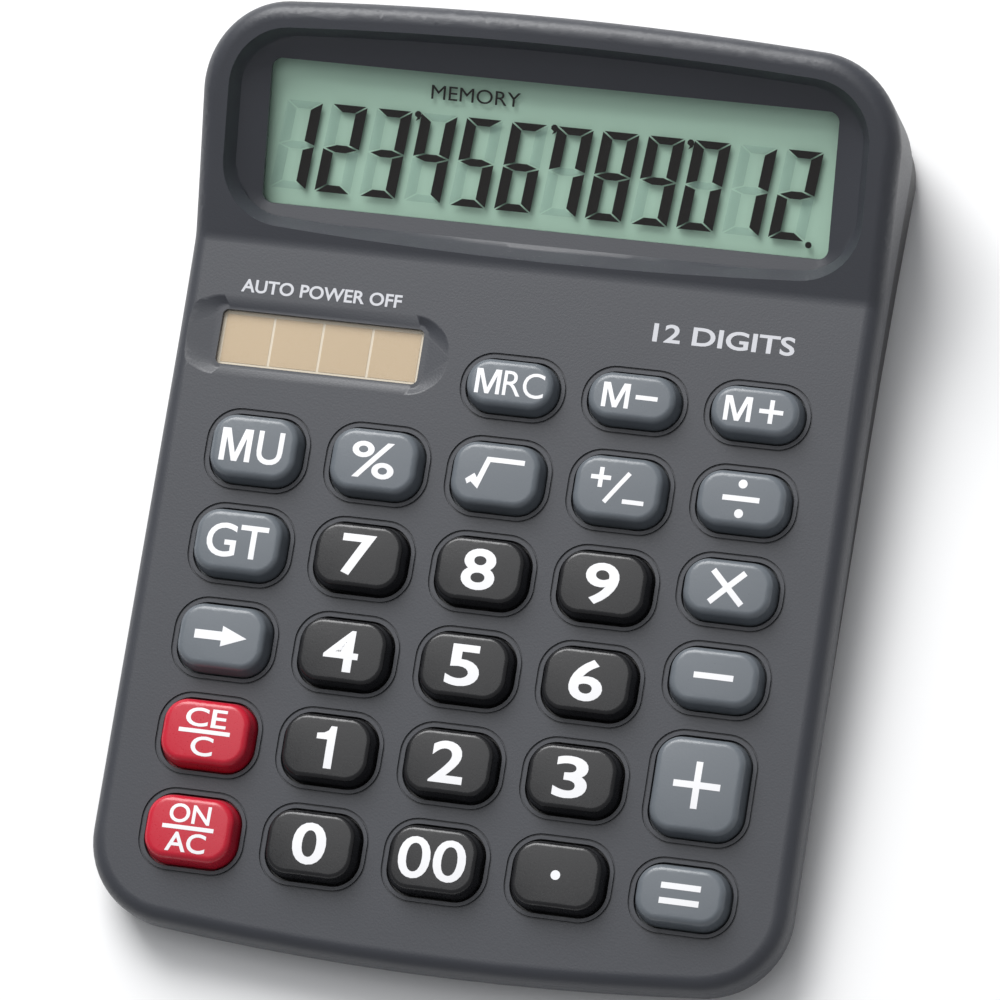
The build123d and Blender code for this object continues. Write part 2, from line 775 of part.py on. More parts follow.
spring_start = -bay_half_length + plate
spring_length = cell_start - spring_start
coil_length = spring_length - 2 * spring_wire
with BuildPart() as negative_contact:
    extrude(rounded(contact_plane(-bay_half_length), [(0, 0)], contact_size, 1.0), amount=plate)
    coil_start = contact_plane(spring_start + spring_wire * 0.5)
    with BuildLine() as coil:
        Helix(
            pitch=coil_length / spring_turns,
            height=coil_length,
            radius=spring_radius,
            center=coil_start.origin,
            direction=(1, 0, 0),
        )
    with BuildSketch(Plane(origin=coil.line @ 0, z_dir=coil.line % 0)):
        Circle(spring_wire)
    sweep(path=coil.line)
save(negative_contact.part, "negative_contact")

# ---------------------------------------------------------------- case screws and feet

with BuildPart() as case_screws:
    seat = deck.offset(-shell_depth - seat_depth)
    extrude(circles(seat.offset(-head_height), posts, head_radius), amount=head_height - lay)
    for x, y in posts:
        with Locations(seat.offset(-head_height).from_local_coords((x, y, 0))):
            with Locations(Rot(deck_tilt, 0, 0), Rot(deck_tilt, 0, 0) * Rot(0, 0, 90)):
                Box(*slot_size, mode=Mode.SUBTRACT)
    shank = circles(seat.offset(-margin / 10), posts, screw_radius)
    extrude(shank, amount=seat_depth + screw_reach + margin / 10)
save(case_screws.part, "case_screws")

with BuildPart() as rubber_feet:
    extrude(circles(Plane.XY, rear_foot_places, foot_radius), amount=ground_gap + foot_pocket - lay)
    fillet(rubber_feet.edges().group_by(Axis.Z)[0], foot_edge)
save(rubber_feet.part, "rubber_feet")

# ---------------------------------------------------------------- wires

wire_radius = 0.5


def wire(route, name):
    """One insulated wire of straight runs joined by the largest arcs that fit."""
    runs = [(b - a) for a, b in zip(route, route[1:])]
    radii = []
    for first, second in zip(runs, runs[1:]):
        turn = radians(first.get_angle(second))
        radii.append(0.45 * min(first.length, second.length) / tan(turn / 2))
    with BuildPart() as cable:
        with BuildLine() as path:
            FilletPolyline(*route, radius=radii)
        with BuildSketch(Plane(origin=path.line @ 0, z_dir=path.line % 0)):
            Circle(wire_radius)
        sweep(path=path.line)
    print(name, "bend radii", [round(radius, 1) for radius in radii])
    save(cable.part, name)


wire_x = bay_half_length + 0.55
for sign, name in ((1, "battery_lead_red"), (-1, "battery_lead_black")):
    wire(
        [
            Vector(sign * wire_x, cell_y, cell_z),
            Vector(sign * (wire_x + 5.5), cell_y - 2.5, cell_z - 0.6),
            Vector(sign * (wire_x + 8.0), cell_y - 10.0, cell_z - 2.6),
            Vector(sign * (wire_x + 5.0), cell_y - 19.0, cell_z - 3.4),
            Vector(sign * (wire_x - 1.5), cell_y - 27.0, cell_z - 2.6),
            deck.from_local_coords((sign * 20.0, board_back - 4.0, board_under - 0.55)),
        ],
        name,
    )
for sign, name in ((1, "solar_lead_red"), (-1, "solar_lead_black")):
    x = solar_centre[0] + 4.0 * sign
    wire(
        [
            deck.from_local_coords((x, solar_centre[1] + 2.0, -wall - 1.65)),
            deck.from_local_coords((x + 1.0, solar_centre[1] + 7.5, -wall - 1.65)),
            deck.from_local_coords((x + 3.0, solar_centre[1] + 10.5, board_top + 1.0)),
            deck.from_local_coords((x + 6.0, solar_centre[1] + 12.0, board_top + 0.55)),
        ],
        name,
    )
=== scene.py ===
# %% [markdown]
# # A desktop calculator
# A plastic case with a raised display pod, 28 keys, a solar strip and a glass display. The solid
# parts come from the CAD model, which fixes every size and place. This lesson gives them their
# finish, prints the key legends, and lays out what the display shows. All lengths are metres.

# %% Load the frame
import json
import math

import bmesh
import bpy
from mathutils import Matrix, Vector


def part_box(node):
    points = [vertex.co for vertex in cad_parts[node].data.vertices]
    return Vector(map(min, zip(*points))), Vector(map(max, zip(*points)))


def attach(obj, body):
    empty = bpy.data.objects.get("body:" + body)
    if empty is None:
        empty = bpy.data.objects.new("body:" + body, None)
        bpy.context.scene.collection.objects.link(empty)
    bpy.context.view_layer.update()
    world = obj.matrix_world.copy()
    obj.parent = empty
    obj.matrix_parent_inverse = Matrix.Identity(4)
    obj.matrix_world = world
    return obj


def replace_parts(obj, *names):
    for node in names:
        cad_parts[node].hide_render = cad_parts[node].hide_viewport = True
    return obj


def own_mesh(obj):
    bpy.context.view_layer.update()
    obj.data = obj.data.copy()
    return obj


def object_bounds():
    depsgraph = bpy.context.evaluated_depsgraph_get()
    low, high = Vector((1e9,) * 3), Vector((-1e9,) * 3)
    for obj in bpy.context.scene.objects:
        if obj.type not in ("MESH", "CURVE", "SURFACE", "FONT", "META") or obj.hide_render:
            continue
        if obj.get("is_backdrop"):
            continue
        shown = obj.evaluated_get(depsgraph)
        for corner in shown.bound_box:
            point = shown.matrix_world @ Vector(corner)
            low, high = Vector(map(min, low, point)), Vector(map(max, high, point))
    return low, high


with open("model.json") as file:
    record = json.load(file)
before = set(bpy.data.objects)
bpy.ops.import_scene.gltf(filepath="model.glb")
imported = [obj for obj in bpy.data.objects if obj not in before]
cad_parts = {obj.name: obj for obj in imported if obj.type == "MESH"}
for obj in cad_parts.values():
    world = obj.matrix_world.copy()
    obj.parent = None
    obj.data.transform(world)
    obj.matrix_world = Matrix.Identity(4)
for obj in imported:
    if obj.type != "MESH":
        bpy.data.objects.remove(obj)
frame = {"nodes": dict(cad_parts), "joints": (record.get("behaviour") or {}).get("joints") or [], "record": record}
cad_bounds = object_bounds()
scene = bpy.context.scene
scene.view_settings.view_transform = "Standard"
MM = 0.001

# %% [markdown]
# ## Two tilted sets of axes
# The deck round the keys rises a little to the back, and every key moves square to it. So the
# direction of a key's joint is the deck's normal. The display pod rises 20 degrees more. Working
# in each face's own axes turns every later step into plain flat layout.

# %% The deck's axes and the pod's
FLANGE_DROP = 2.7 * MM  # of a key's lowest edge below the deck
POD_START = 36 * MM  # from the first full key row up the deck to the pod's foot
POD_TILT = math.radians(20)
press = next(joint for joint in frame["joints"] if joint["name"] == "key_mu_press")
deck_up = -Vector(press["axis"]).normalized()


def axes(origin, up):
    """A matrix that carries flat layout on a face, with X to the right, into the frame."""
    right = Vector((1, 0, 0))
    turn = Matrix((right, up.cross(right), up)).transposed().to_4x4()
    return Matrix.Translation(origin) @ turn


def extent(node, place):
    """The lowest and highest corner of a CAD node, measured along a face's axes."""
    back = place.inverted()
    points = [back @ vertex.co for vertex in frame["nodes"][node].data.vertices]
    low = Vector([min(point[i] for point in points) for i in range(3)])
    high = Vector([max(point[i] for point in points) for i in range(3)])
    return low, high


level = axes(Vector(), deck_up)
low, high = extent("key_mu", level)
deck = axes(level @ Vector((0, (low.y + high.y) / 2, low.z + FLANGE_DROP)), deck_up)
pod_up = Matrix.Rotation(POD_TILT, 3, "X") @ deck_up
pod = axes(deck @ Vector((0, POD_START, 0)), pod_up)
print("deck height over the first key row:", round(deck.translation.z / MM, 2), "mm")

# %% [markdown]
# ## Camera
# A long lens from high up on the right flattens the view almost to a drawing, so the keys keep
# their even spacing. The camera is set down in the deck's axes and rolled a little.

# %% Camera
CAMERA_PLACE = Vector((0.23796, -0.20775, 0.99005))
CAMERA_FORWARD = Vector((-0.22840, 0.19667, -0.95350))
CAMERA_UP = Vector((-0.11052, 0.96781, 0.22610))
CAMERA_LENS = 226.0
camera = bpy.data.objects.new("camera", bpy.data.cameras.new("camera"))
scene.collection.objects.link(camera)
camera_turn = Matrix((CAMERA_FORWARD.cross(CAMERA_UP), CAMERA_UP, -CAMERA_FORWARD)).transposed()
camera.matrix_world = deck @ Matrix.Translation(CAMERA_PLACE) @ camera_turn.to_4x4()
camera.data.lens = CAMERA_LENS
camera.data.clip_end = 10
scene.camera = camera
print("the camera stands", round(CAMERA_PLACE.length, 3), "m away")

# %% [markdown]
# ## Light and floor
# A large soft light behind and to the left makes the far walls of the recesses dark and their
# near walls bright, which is what shows their depth. A pale sky fills the shade.

# %% Light and floor


def linear(colour):
    """An sRGB hex colour as the linear values that shaders use."""
    channels = [int(colour[i : i + 2], 16) / 255 for i in (1, 3, 5)]
    return [c / 12.92 if c <= 0.04045 else ((c + 0.055) / 1.055) ** 2.4 for c in channels] + [1]


def soft_light(name, place, size, watts):
    """A square light that faces the calculator."""
    light = bpy.data.objects.new(name, bpy.data.lights.new(name, "AREA"))
    light.data.energy = watts
    light.data.size = size
    aim = Vector(place).to_track_quat("Z", "Y").to_matrix().to_4x4()
    light.matrix_world = Matrix.Translation(place) @ aim
    scene.collection.objects.link(light)


soft_light("window_light", (-0.5, 0.95, 0.95), 0.9, 24)
soft_light("overhead_light", (-0.2, 0.3, 1.4), 1.0, 4)
world = bpy.data.worlds.new("pale_sky")
world.use_nodes = True
world.node_tree.nodes["Background"].inputs["Color"].default_value = linear("#f4f6fa")
world.node_tree.nodes["Background"].inputs["Strength"].default_value = 0.34
scene.world = world

FLOOR_SIZE = 3
FLOOR_GAP = 0.05 * MM  # keeps the feet from lying in the very plane of the floor
floor_shape = bmesh.new()
floor_level = Matrix.Translation((0, 0, -FLOOR_GAP))
bmesh.ops.create_grid(floor_shape, x_segments=1, y_segments=1, size=FLOOR_SIZE, matrix=floor_level)
floor_data = bpy.data.meshes.new("floor")
floor_shape.to_mesh(floor_data)
floor_shape.free()
floor = bpy.data.objects.new("floor", floor_data)
scene.collection.objects.link(floor)
paper = bpy.data.materials.new("white_paper")
paper.use_nodes = True
paper.node_tree.nodes["Principled BSDF"].inputs["Base Color"].default_value = linear("#fafafa")
paper.node_tree.nodes["Principled BSDF"].inputs["Roughness"].default_value = 0.9
floor_data.materials.append(paper)
floor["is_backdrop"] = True

# %% [markdown]
# ## Moulded plastic
# The case and the keys are ABS, injection moulded in a steel tool whose face was spark eroded.
# That leaves a fine even grain, which turns reflections into a soft sheen. Two noises make it:
# a broad, faint one that drifts the colour and the gloss as a thick moulding does, and a fine
# one that only bumps the surface. The real grain is about 0.1 mm across, too fine to show from
# a metre away, so it is drawn three times as coarse. Both noises read Object coordinates.

# %% One helper for nodes, and moulded plastic


def add_node(tree, kind, inputs, **settings):
    """Add a node with its settings, and give its inputs their values or links."""
    node = tree.nodes.new(kind)
    for name, value in settings.items():
        setattr(node, name, value)
    for name, value in inputs.items():
        if isinstance(value, bpy.types.NodeSocket):
            tree.links.new(value, node.inputs[name])
        else:
            node.inputs[name].default_value = value
    return node


def new_finish(name, **values):
    """A material with values for its shader: the material, its nodes, its shader and its place."""
    material = bpy.data.materials.new(name)
    material.use_nodes = True
    tree = material.node_tree
    shader = tree.nodes["Principled BSDF"]
    for label, value in values.items():
        shader.inputs[label].default_value = value
    place = add_node(tree, "ShaderNodeTexCoord", {}).outputs["Object"]
    return material, tree, shader, place


def shade(colour, share):
    """A colour made lighter or darker by a share."""
    return [channel * (1 + share) for channel in linear(colour)[:3]] + [1]


FLOW_WIDTH = 14 * MM
GRAIN_WIDTH = 0.35 * MM
COLOUR_A, COLOUR_B, COLOUR_OUT = 6, 7, 2  # the sockets of a Mix node for two colours


def moulded(name, colour, roughness, depth=0.01 * MM, drift=0.06, grain=GRAIN_WIDTH, ior=1.53):
    """Plastic or rubber with a grained face and a little drift in colour and gloss."""
    material, tree, shader, place = new_finish(name, IOR=ior)
    broad_inputs = {"Vector": place, "Scale": 1 / FLOW_WIDTH, "Detail": 3.0}
    broad = add_node(tree, "ShaderNodeTexNoise", broad_inputs).outputs["Fac"]
    tones = {0: broad, COLOUR_A: shade(colour, -drift), COLOUR_B: shade(colour, drift)}
    tone = add_node(tree, "ShaderNodeMix", tones, data_type="RGBA").outputs[COLOUR_OUT]
    tree.links.new(tone, shader.inputs["Base Color"])
    fine_inputs = {"Vector": place, "Scale": 1 / grain, "Detail": 2.0}
    fine = add_node(tree, "ShaderNodeTexNoise", fine_inputs).outputs["Fac"]
    gloss_range = {"Value": fine, "To Min": roughness - 0.1, "To Max": roughness + 0.1}
    gloss = add_node(tree, "ShaderNodeMapRange", gloss_range).outputs["Result"]
    tree.links.new(gloss, shader.inputs["Roughness"])
    bump = add_node(tree, "ShaderNodeBump", {"Height": fine, "Distance": depth})
    tree.links.new(bump.outputs["Normal"], shader.inputs["Normal"])
    return material


finish = {
    "case_front": moulded("moulded_abs_slate", "#393b41", 0.42, depth=0.02 * MM),
    "case_rear": moulded("moulded_abs_black", "#222225", 0.5, depth=0.02 * MM),
    "key_grey": moulded("moulded_abs_grey", "#666c72", 0.32),
    "key_black": moulded("moulded_abs_charcoal", "#19191b", 0.3),
    "key_red": moulded("moulded_abs_red", "#c01a31", 0.3),
    "bracket_plastic": moulded("moulded_abs_natural", "#c9c7bd", 0.45),
    "silicone": moulded("moulded_silicone_rubber", "#b9bbb9", 0.6, ior=1.41),
    "foot_rubber": moulded("moulded_nitrile_rubber", "#242424", 0.75, depth=0.03 * MM, ior=1.52),
    "epoxy": moulded("poured_epoxy", "#17171a", 0.15, grain=3 * MM, ior=1.55),
    "capacitor_sleeve": moulded("shrunk_pvc_sleeve", "#262c52", 0.3, ior=1.54),
    "resistor": moulded("dipped_lacquer", "#b89468", 0.4, ior=1.5),
    "red_insulation": moulded("extruded_pvc_red", "#b01c1c", 0.35, ior=1.54),
    "black_insulation": moulded("extruded_pvc_black", "#1d1d1f", 0.35, ior=1.54),
    "diode_glass": moulded("drawn_glass_amber", "#b0622e", 0.1, grain=1 * MM, ior=1.5),
}
print("moulded finishes:", len(finish))

# %% [markdown]
# ## Metal, board and film
# The screws are zinc plated and the battery contacts nickel plated: both are bright metal whose
# gloss is broken by long fine lines from drawing. Noise that is stretched along one axis makes
# the lines. The circuit board is glass and epoxy laminate under green solder mask, where the
# copper tracks show as paler lines. The connector film is polyester with dark printed tracks.

# %% Plated metal and striped laminates
DRAWN_LINE = 0.15 * MM
DRAWN_LENGTH = 6 * MM


def plated(name, colour, roughness):
    """Bright metal with fine lines along X."""
    material, tree, shader, place = new_finish(name, Metallic=1.0)
    stretch = {"Vector": place, "Scale": (1 / DRAWN_LENGTH, 1 / DRAWN_LINE, 1 / DRAWN_LINE)}
    lines = add_node(tree, "ShaderNodeMapping", stretch).outputs["Vector"]
    streak = add_node(tree, "ShaderNodeTexNoise", {"Vector": lines, "Scale": 1.0}).outputs["Fac"]
    tones = {0: streak, COLOUR_A: shade(colour, -0.15), COLOUR_B: shade(colour, 0.1)}
    tone = add_node(tree, "ShaderNodeMix", tones, data_type="RGBA").outputs[COLOUR_OUT]
    tree.links.new(tone, shader.inputs["Base Color"])
    gloss_range = {"Value": streak, "To Min": roughness - 0.1, "To Max": roughness + 0.15}
    gloss = add_node(tree, "ShaderNodeMapRange", gloss_range).outputs["Result"]
    tree.links.new(gloss, shader.inputs["Roughness"])
    return material


def tracked(name, ground, track, pitch, roughness):
    """A laminate whose tracks run in rows: a brick pattern, with the tracks as its mortar."""
    material, tree, shader, place = new_finish(name, IOR=1.55)
    rows = {"Vector": place, "Scale": 1.0, "Mortar Size": pitch / 4, "Mortar Smooth": 0.1}
    rows |= {"Brick Width": pitch * 9, "Row Height": pitch, "Mortar": linear(track)}
    rows |= {"Color1": shade(ground, -0.1), "Color2": shade(ground, 0.1)}
    pattern = add_node(tree, "ShaderNodeTexBrick", rows)
    tree.links.new(pattern.outputs["Color"], shader.inputs["Base Color"])
    gloss_range = {"Value": pattern.outputs["Fac"], "To Min": roughness, "To Max": roughness + 0.1}
    gloss = add_node(tree, "ShaderNodeMapRange", gloss_range).outputs["Result"]
    tree.links.new(gloss, shader.inputs["Roughness"])
    bump_inputs = {"Height": pattern.outputs["Fac"], "Distance": 0.03 * MM}
    bump = add_node(tree, "ShaderNodeBump", bump_inputs)
    tree.links.new(bump.outputs["Normal"], shader.inputs["Normal"])
    return material


finish["steel"] = plated("zinc_plated_steel", "#b9bbbd", 0.35)
finish["plated_steel"] = plated("nickel_plated_steel", "#d0cbbd", 0.25)
finish["circuit_board"] = tracked("solder_masked_laminate", "#14532d", "#2b7a45", 1.27 * MM, 0.3)
finish["film"] = tracked("printed_polyester_film", "#b98a4a", "#2a2018", 0.8 * MM, 0.4)
print("metals and laminates:", finish["steel"].name, finish["circuit_board"].name)

# %% [markdown]
# ## Clear covers and the battery sleeve
# The display's and the solar strip's covers are cut from clear acrylic and polished, so they
# show only as a faint gloss. A low alpha keeps that gloss and lets light reach what lies below,
# and a dark base colour keeps the cover from looking like milk over the display.
# The battery wears a shrunk printed sleeve, dark with a copper band at its positive end.

# %% Clear acrylic and the printed sleeve


def clear(name, colour, alpha):
    """Polished clear plastic: mostly let through, with a smear of very fine scratches."""
    material, tree, shader, place = new_finish(name, IOR=1.49, Alpha=alpha)
    smear = add_node(tree, "ShaderNodeTexNoise", {"Vector": place, "Scale": 1 / FLOW_WIDTH})
    gloss_range = {"Value": smear.outputs["Fac"], "To Min": 0.02, "To Max": 0.1}
    gloss = add_node(tree, "ShaderNodeMapRange", gloss_range).outputs["Result"]
    tree.links.new(gloss, shader.inputs["Roughness"])
    tones = {0: smear.outputs["Fac"], COLOUR_A: shade(colour, -0.03), COLOUR_B: linear(colour)}
    tone = add_node(tree, "ShaderNodeMix", tones, data_type="RGBA").outputs[COLOUR_OUT]
    tree.links.new(tone, shader.inputs["Base Color"])
    return material


finish["display_lens"] = clear("polished_acrylic_lens", "#121614", 0.05)
finish["solar_cover"] = clear("polished_acrylic_strip", "#161412", 0.06)

BAND_SHARE = 0.28
cell_low, cell_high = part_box("battery_cell")
sleeve, sleeve_tree, sleeve_shader, sleeve_place = new_finish("printed_shrink_sleeve", IOR=1.54)
sleeve_axes = add_node(sleeve_tree, "ShaderNodeSeparateXYZ", {"Vector": sleeve_place})
band_start = cell_high[0] - BAND_SHARE * (cell_high[0] - cell_low[0])
band_inputs = {0: sleeve_axes.outputs["X"], 1: band_start}
band = add_node(sleeve_tree, "ShaderNodeMath", band_inputs, operation="GREATER_THAN")
sleeve_tones = {0: band.outputs["Value"], COLOUR_A: linear("#23272e"), COLOUR_B: linear("#b5763f")}
sleeve_tone = add_node(sleeve_tree, "ShaderNodeMix", sleeve_tones, data_type="RGBA")
sleeve_tree.links.new(sleeve_tone.outputs[COLOUR_OUT], sleeve_shader.inputs["Base Color"])
sleeve_noise = {"Vector": sleeve_place, "Scale": 1 / (2 * MM)}
sleeve_wrinkle = add_node(sleeve_tree, "ShaderNodeTexNoise", sleeve_noise).outputs["Fac"]
sleeve_gloss_range = {"Value": sleeve_wrinkle, "To Min": 0.2, "To Max": 0.4}
sleeve_gloss = add_node(sleeve_tree, "ShaderNodeMapRange", sleeve_gloss_range).outputs["Result"]
sleeve_tree.links.new(sleeve_gloss, sleeve_shader.inputs["Roughness"])
finish["cell_label"] = sleeve
print("battery band starts", round(band_start / MM, 1), "mm from the middle")

# %% [markdown]
# ## Smooth copies of the CAD parts
# A CAD node arrives as loose triangles, which catch the light one by one. For each part, a copy
# of the mesh has its corners merged and is given a normal for each corner of each face. The
# normal is the mean over the neighbours that turn away by less than a sharp angle, each weighted
# by the whole flat face that it belongs to. So a flat face stays flat right up to its fillet,
# which a plain smooth shade would smear. The copy stands for the node and rides on its body.
# The display and the solar cell are made anew further on.

# %% Corner normals that keep flat faces flat
SHARP_COSINE = math.cos(math.radians(32))
PLANE_STEP = 0.05 * MM  # faces closer than this along their normal count as one plane
REMADE = {"display_panel", "solar_cell", "keypad_sheet"}
slot_of = {row["node"]: row["material_slot"] for row in frame["record"]["subparts"]}
bodies = frame["record"]["behaviour"]["bodies"]
body_of = {node: body for body, nodes in bodies.items() for node in nodes}


def corner_normals(mesh):
    """One normal for each face corner, in which large flat faces outweigh small ones."""
    planes = []
    plane_area = {}
    around = [[] for _ in mesh.vertices]
    for face in mesh.polygons:
        direction = tuple(round(value, 2) for value in face.normal)
        plane = (*direction, round(face.center.dot(face.normal) / PLANE_STEP))
        planes.append(plane)
        plane_area[plane] = plane_area.get(plane, 0) + face.area
        for index in face.vertices:
            around[index].append(face.index)
    directions = [face.normal.copy() for face in mesh.polygons]
    weighted = [direction * plane_area[plane] for direction, plane in zip(directions, planes)]
    normals = []
    for face in mesh.polygons:
        own = directions[face.index]
        for index in face.vertices:
            total = Vector()
            for other in around[index]:
                if own.dot(directions[other]) > SHARP_COSINE:
                    total += weighted[other]
            normals.append(total.normalized())
    return normals


print("nodes to copy:", len(slot_of) - len(REMADE))

# %% Smooth copies


def merged(node):
    """A CAD node's shape with the corners of its triangles joined."""
    shape = bmesh.new()
    shape.from_mesh(frame["nodes"][node].data)
    bmesh.ops.remove_doubles(shape, verts=shape.verts, dist=0.001 * MM)
    return shape


def smooth_piece(name, shape, node):
    """A smooth-shaded piece with the body and the finish of a CAD node."""
    mesh = bpy.data.meshes.new(name)
    shape.to_mesh(mesh)
    shape.free()
    mesh.materials.append(finish[slot_of[node]])
    mesh.shade_smooth()
    mesh.normals_split_custom_set(corner_normals(mesh))
    piece = bpy.data.objects.new(name, mesh)
    scene.collection.objects.link(piece)
    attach(piece, body_of[node])
    return piece


copies = []
for node in slot_of:
    if node not in REMADE:
        copies.append(smooth_piece(f"{node}_finished", merged(node), node))
        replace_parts(copies[-1], node)
print("smooth copies:", len(copies), "faces:", sum(len(piece.data.polygons) for piece in copies))

# %% [markdown]
# ## Domes parted from the sheet
# Under each key the rubber sheet rises in a hollow dome, which is the key's spring and buckles as
# the key goes down. So each dome is cut off just above the sheet, the cut is closed, and each
# dome becomes a piece of its own.

# %% Part the domes from the sheet
SEAM_RISE = 0.65 * MM  # of the cut above the sheet's back, which is just over its front face
DOME_REACH = 4.2 * MM  # round a dome's axis, more than its radius and less than half a key pitch
keys = [node for node in slot_of if node.startswith("key_")]
low, high = extent("keypad_sheet", deck)
seam = deck @ Vector((0, 0, low.z + SEAM_RISE))
deck_inverse = deck.inverted()


def near(point, axis):
    """Whether a point lies round a dome's axis, a place on the deck."""
    away = deck_inverse @ point - axis
    return away.xy.length < DOME_REACH


def one_side(shape, above):
    """Cut a shape along the seam and keep the part above or below it."""
    everything = [*shape.verts, *shape.edges, *shape.faces]
    sides = {"clear_inner": above, "clear_outer": not above}
    bmesh.ops.bisect_plane(shape, geom=everything, dist=1e-7, plane_co=seam, plane_no=deck_up, **sides)
    return shape


def close_ring(shape, axis):
    """Close the ring that the cut leaves round a dome."""
    rim = [edge for edge in shape.edges if edge.is_boundary and near(edge.verts[0].co, axis)]
    bmesh.ops.bridge_loops(shape, edges=rim)
    bmesh.ops.recalc_face_normals(shape, faces=shape.faces)


sheet = one_side(merged("keypad_sheet"), above=False)
all_domes = one_side(merged("keypad_sheet"), above=True)
for key in keys:
    low, high = extent(key, deck)
    axis = (low + high) / 2
    close_ring(sheet, axis)
    dome = all_domes.copy()
    others = [vertex for vertex in dome.verts if not near(vertex.co, axis)]
    bmesh.ops.delete(dome, geom=others, context="VERTS")
    close_ring(dome, axis)
    piece = smooth_piece(f"{key}_dome", dome, "keypad_sheet")
    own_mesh(piece)
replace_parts(smooth_piece("keypad_sheet_finished", sheet, "keypad_sheet"), "keypad_sheet")
all_domes.free()

# %% [markdown]
# ## Ink that follows a key
# The legends are pad printed: a silicone pad lays a film of white ink over the crowned key top.
# So a legend starts as a flat outline. It is cut by a fine grid, so that it can bend, and each
# point is dropped onto the crown, which is part of a ball. Then it gets the thickness of the ink.
# Letters come from text curves made a mesh. Bars, the arrow and the root sign are given as lists of corners.

# %% Flat marks
INK = 0.06 * MM  # drawn thicker than real ink, so that it never sinks into the key
INK_SINK = 0.03 * MM
GRID = 1.0 * MM


def baked(piece):
    """The piece's mesh with its modifiers applied."""
    bpy.context.view_layer.update()
    graph = bpy.context.evaluated_depsgraph_get()
    return bpy.data.meshes.new_from_object(piece.evaluated_get(graph), depsgraph=graph)


def text_mark(words, width, height, weight=0.03, centre=(0, 0)):
    """Flat lettering, thickened and scaled to an exact width and height in mm."""
    curve = bpy.data.curves.new("lettering", "FONT")
    curve.body = words
    curve.offset = weight
    curve.resolution_u = 5
    source = bpy.data.objects.new("lettering", curve)
    scene.collection.objects.link(source)
    flat = baked(source)
    bpy.data.objects.remove(source)
    shape = bmesh.new()
    shape.from_mesh(flat)
    bmesh.ops.remove_doubles(shape, verts=shape.verts, dist=1e-5)
    across = [vertex.co.x for vertex in shape.verts]
    up = [vertex.co.y for vertex in shape.verts]
    size = Vector((max(across) - min(across), max(up) - min(up)))
    middle = Vector(((max(across) + min(across)) / 2, (max(up) + min(up)) / 2))
    for vertex in shape.verts:
        vertex.co.x = ((vertex.co.x - middle.x) / size.x * width + centre[0]) * MM
        vertex.co.y = ((vertex.co.y - middle.y) / size.y * height + centre[1]) * MM
    return shape


def outline_mark(*outlines):
    """Flat shapes from lists of corners in mm."""
    shape = bmesh.new()
    for corners in outlines:
        shape.faces.new([shape.verts.new((x * MM, y * MM, 0)) for x, y in corners])
    return shape


def bar(width, height, x=0, y=0, turn=0):
    """The corners of a bar about a centre, turned by some degrees."""
    cos, sin = math.cos(math.radians(turn)), math.sin(math.radians(turn))
    half = [(-width / 2, -height / 2), (width / 2, -height / 2)]
    half += [(width / 2, height / 2), (-width / 2, height / 2)]
    return [(x + a * cos - b * sin, y + a * sin + b * cos) for a, b in half]


def plate(low, high):
    """A flat shape that fills the box between two corners in metres."""
    middle = (low + high) / (2 * MM)
    size = (high - low) / MM
    return outline_mark(bar(size.x, size.y, middle.x, middle.y))


def disc(radius, x=0, y=0, sides=24):
    """The corners of a round dot."""
    turns = [2 * math.pi * i / sides for i in range(sides)]
    return [(x + radius * math.cos(turn), y + radius * math.sin(turn)) for turn in turns]


print("a plus sign has", len(outline_mark(bar(6, 1.2), bar(1.2, 6)).faces), "flat bars")

# %% [markdown]
# The marks of one key are joined, so a key has one printed piece, as in life. Crossing bars
# would shade badly where they overlap, so a plus sign is three bars that only meet.

# %% Print the keys
CROWN_RADIUS = 75 * MM


def two_line(top, bottom):
    """A word over a bar over a word, as on the clearing keys."""
    return [
        text_mark(top, 7.0, 3.2, 0.015, (0, 2.35)),
        outline_mark(bar(8.8, 0.7)),
        text_mark(bottom, 3.8 if len(bottom) == 1 else 6.8, 3.3, 0.015, (0, -2.45)),
    ]


def letter_m(width, height, stem, x=0):
    """The corners of a capital M, whose middle strokes meet in a V on the foot line."""
    half, top, foot = width / 2, height / 2, -height / 2
    notch = top - 1.55 * stem * height / width
    left = [(-half, foot), (-half + stem, foot), (-half + stem, notch), (-stem / 2, foot)]
    right = [(stem / 2, foot), (half - stem, notch), (half - stem, foot), (half, foot)]
    tops = [(half, top), (half - 1.5 * stem, top), (0, foot + 1.5 * stem), (-half + 1.5 * stem, top)]
    return [(x + a, b) for a, b in left + right + tops + [(-half, top)]]


def cross(length, stroke, x=0, y=0, turn=0):
    """A plus sign as a long bar and two short ones that meet it."""
    reach = (length - stroke) / 2
    shift = (length + stroke) / 4
    cos, sin = math.cos(math.radians(turn)), math.sin(math.radians(turn))
    arms = [(x - s * shift * sin, y + s * shift * cos) for s in (1, -1)]
    return [bar(length, stroke, x, y, turn)] + [bar(stroke, reach, *arm, turn) for arm in arms]


arrow = [(-4.5, 0.75), (0.2, 0.75), (0.2, 1.75), (4.5, 0), (0.2, -1.75), (0.2, -0.75), (-4.5, -0.75)]
root = [(-4.8, -1.3), (-4.4, -2.1), (-3.8, -1.7), (-2.5, -2.8), (-0.95, 1.9)]
root += [(4.8, 1.9), (4.8, 2.75), (-1.6, 2.75), (-2.85, -0.9), (-3.35, -0.2)]
one = [(0.15, -3.55), (1.5, -3.55), (1.5, 3.55), (0.5, 3.55), (0.2, 2.8), (-0.5, 2.35)]
one += [(-1.7, 2.2), (-1.7, 1.25), (0.15, 1.25)]
legends = {f"key_{digit}": [text_mark(digit, 5.7, 7.0, 0.02)] for digit in "02356789"}
legends["key_4"] = [text_mark("4", 5.9, 7.0, 0.01)]
legends["key_1"] = [outline_mark(one)]
legends["key_00"] = [text_mark("00", 11.4, 7.0, 0.01)]
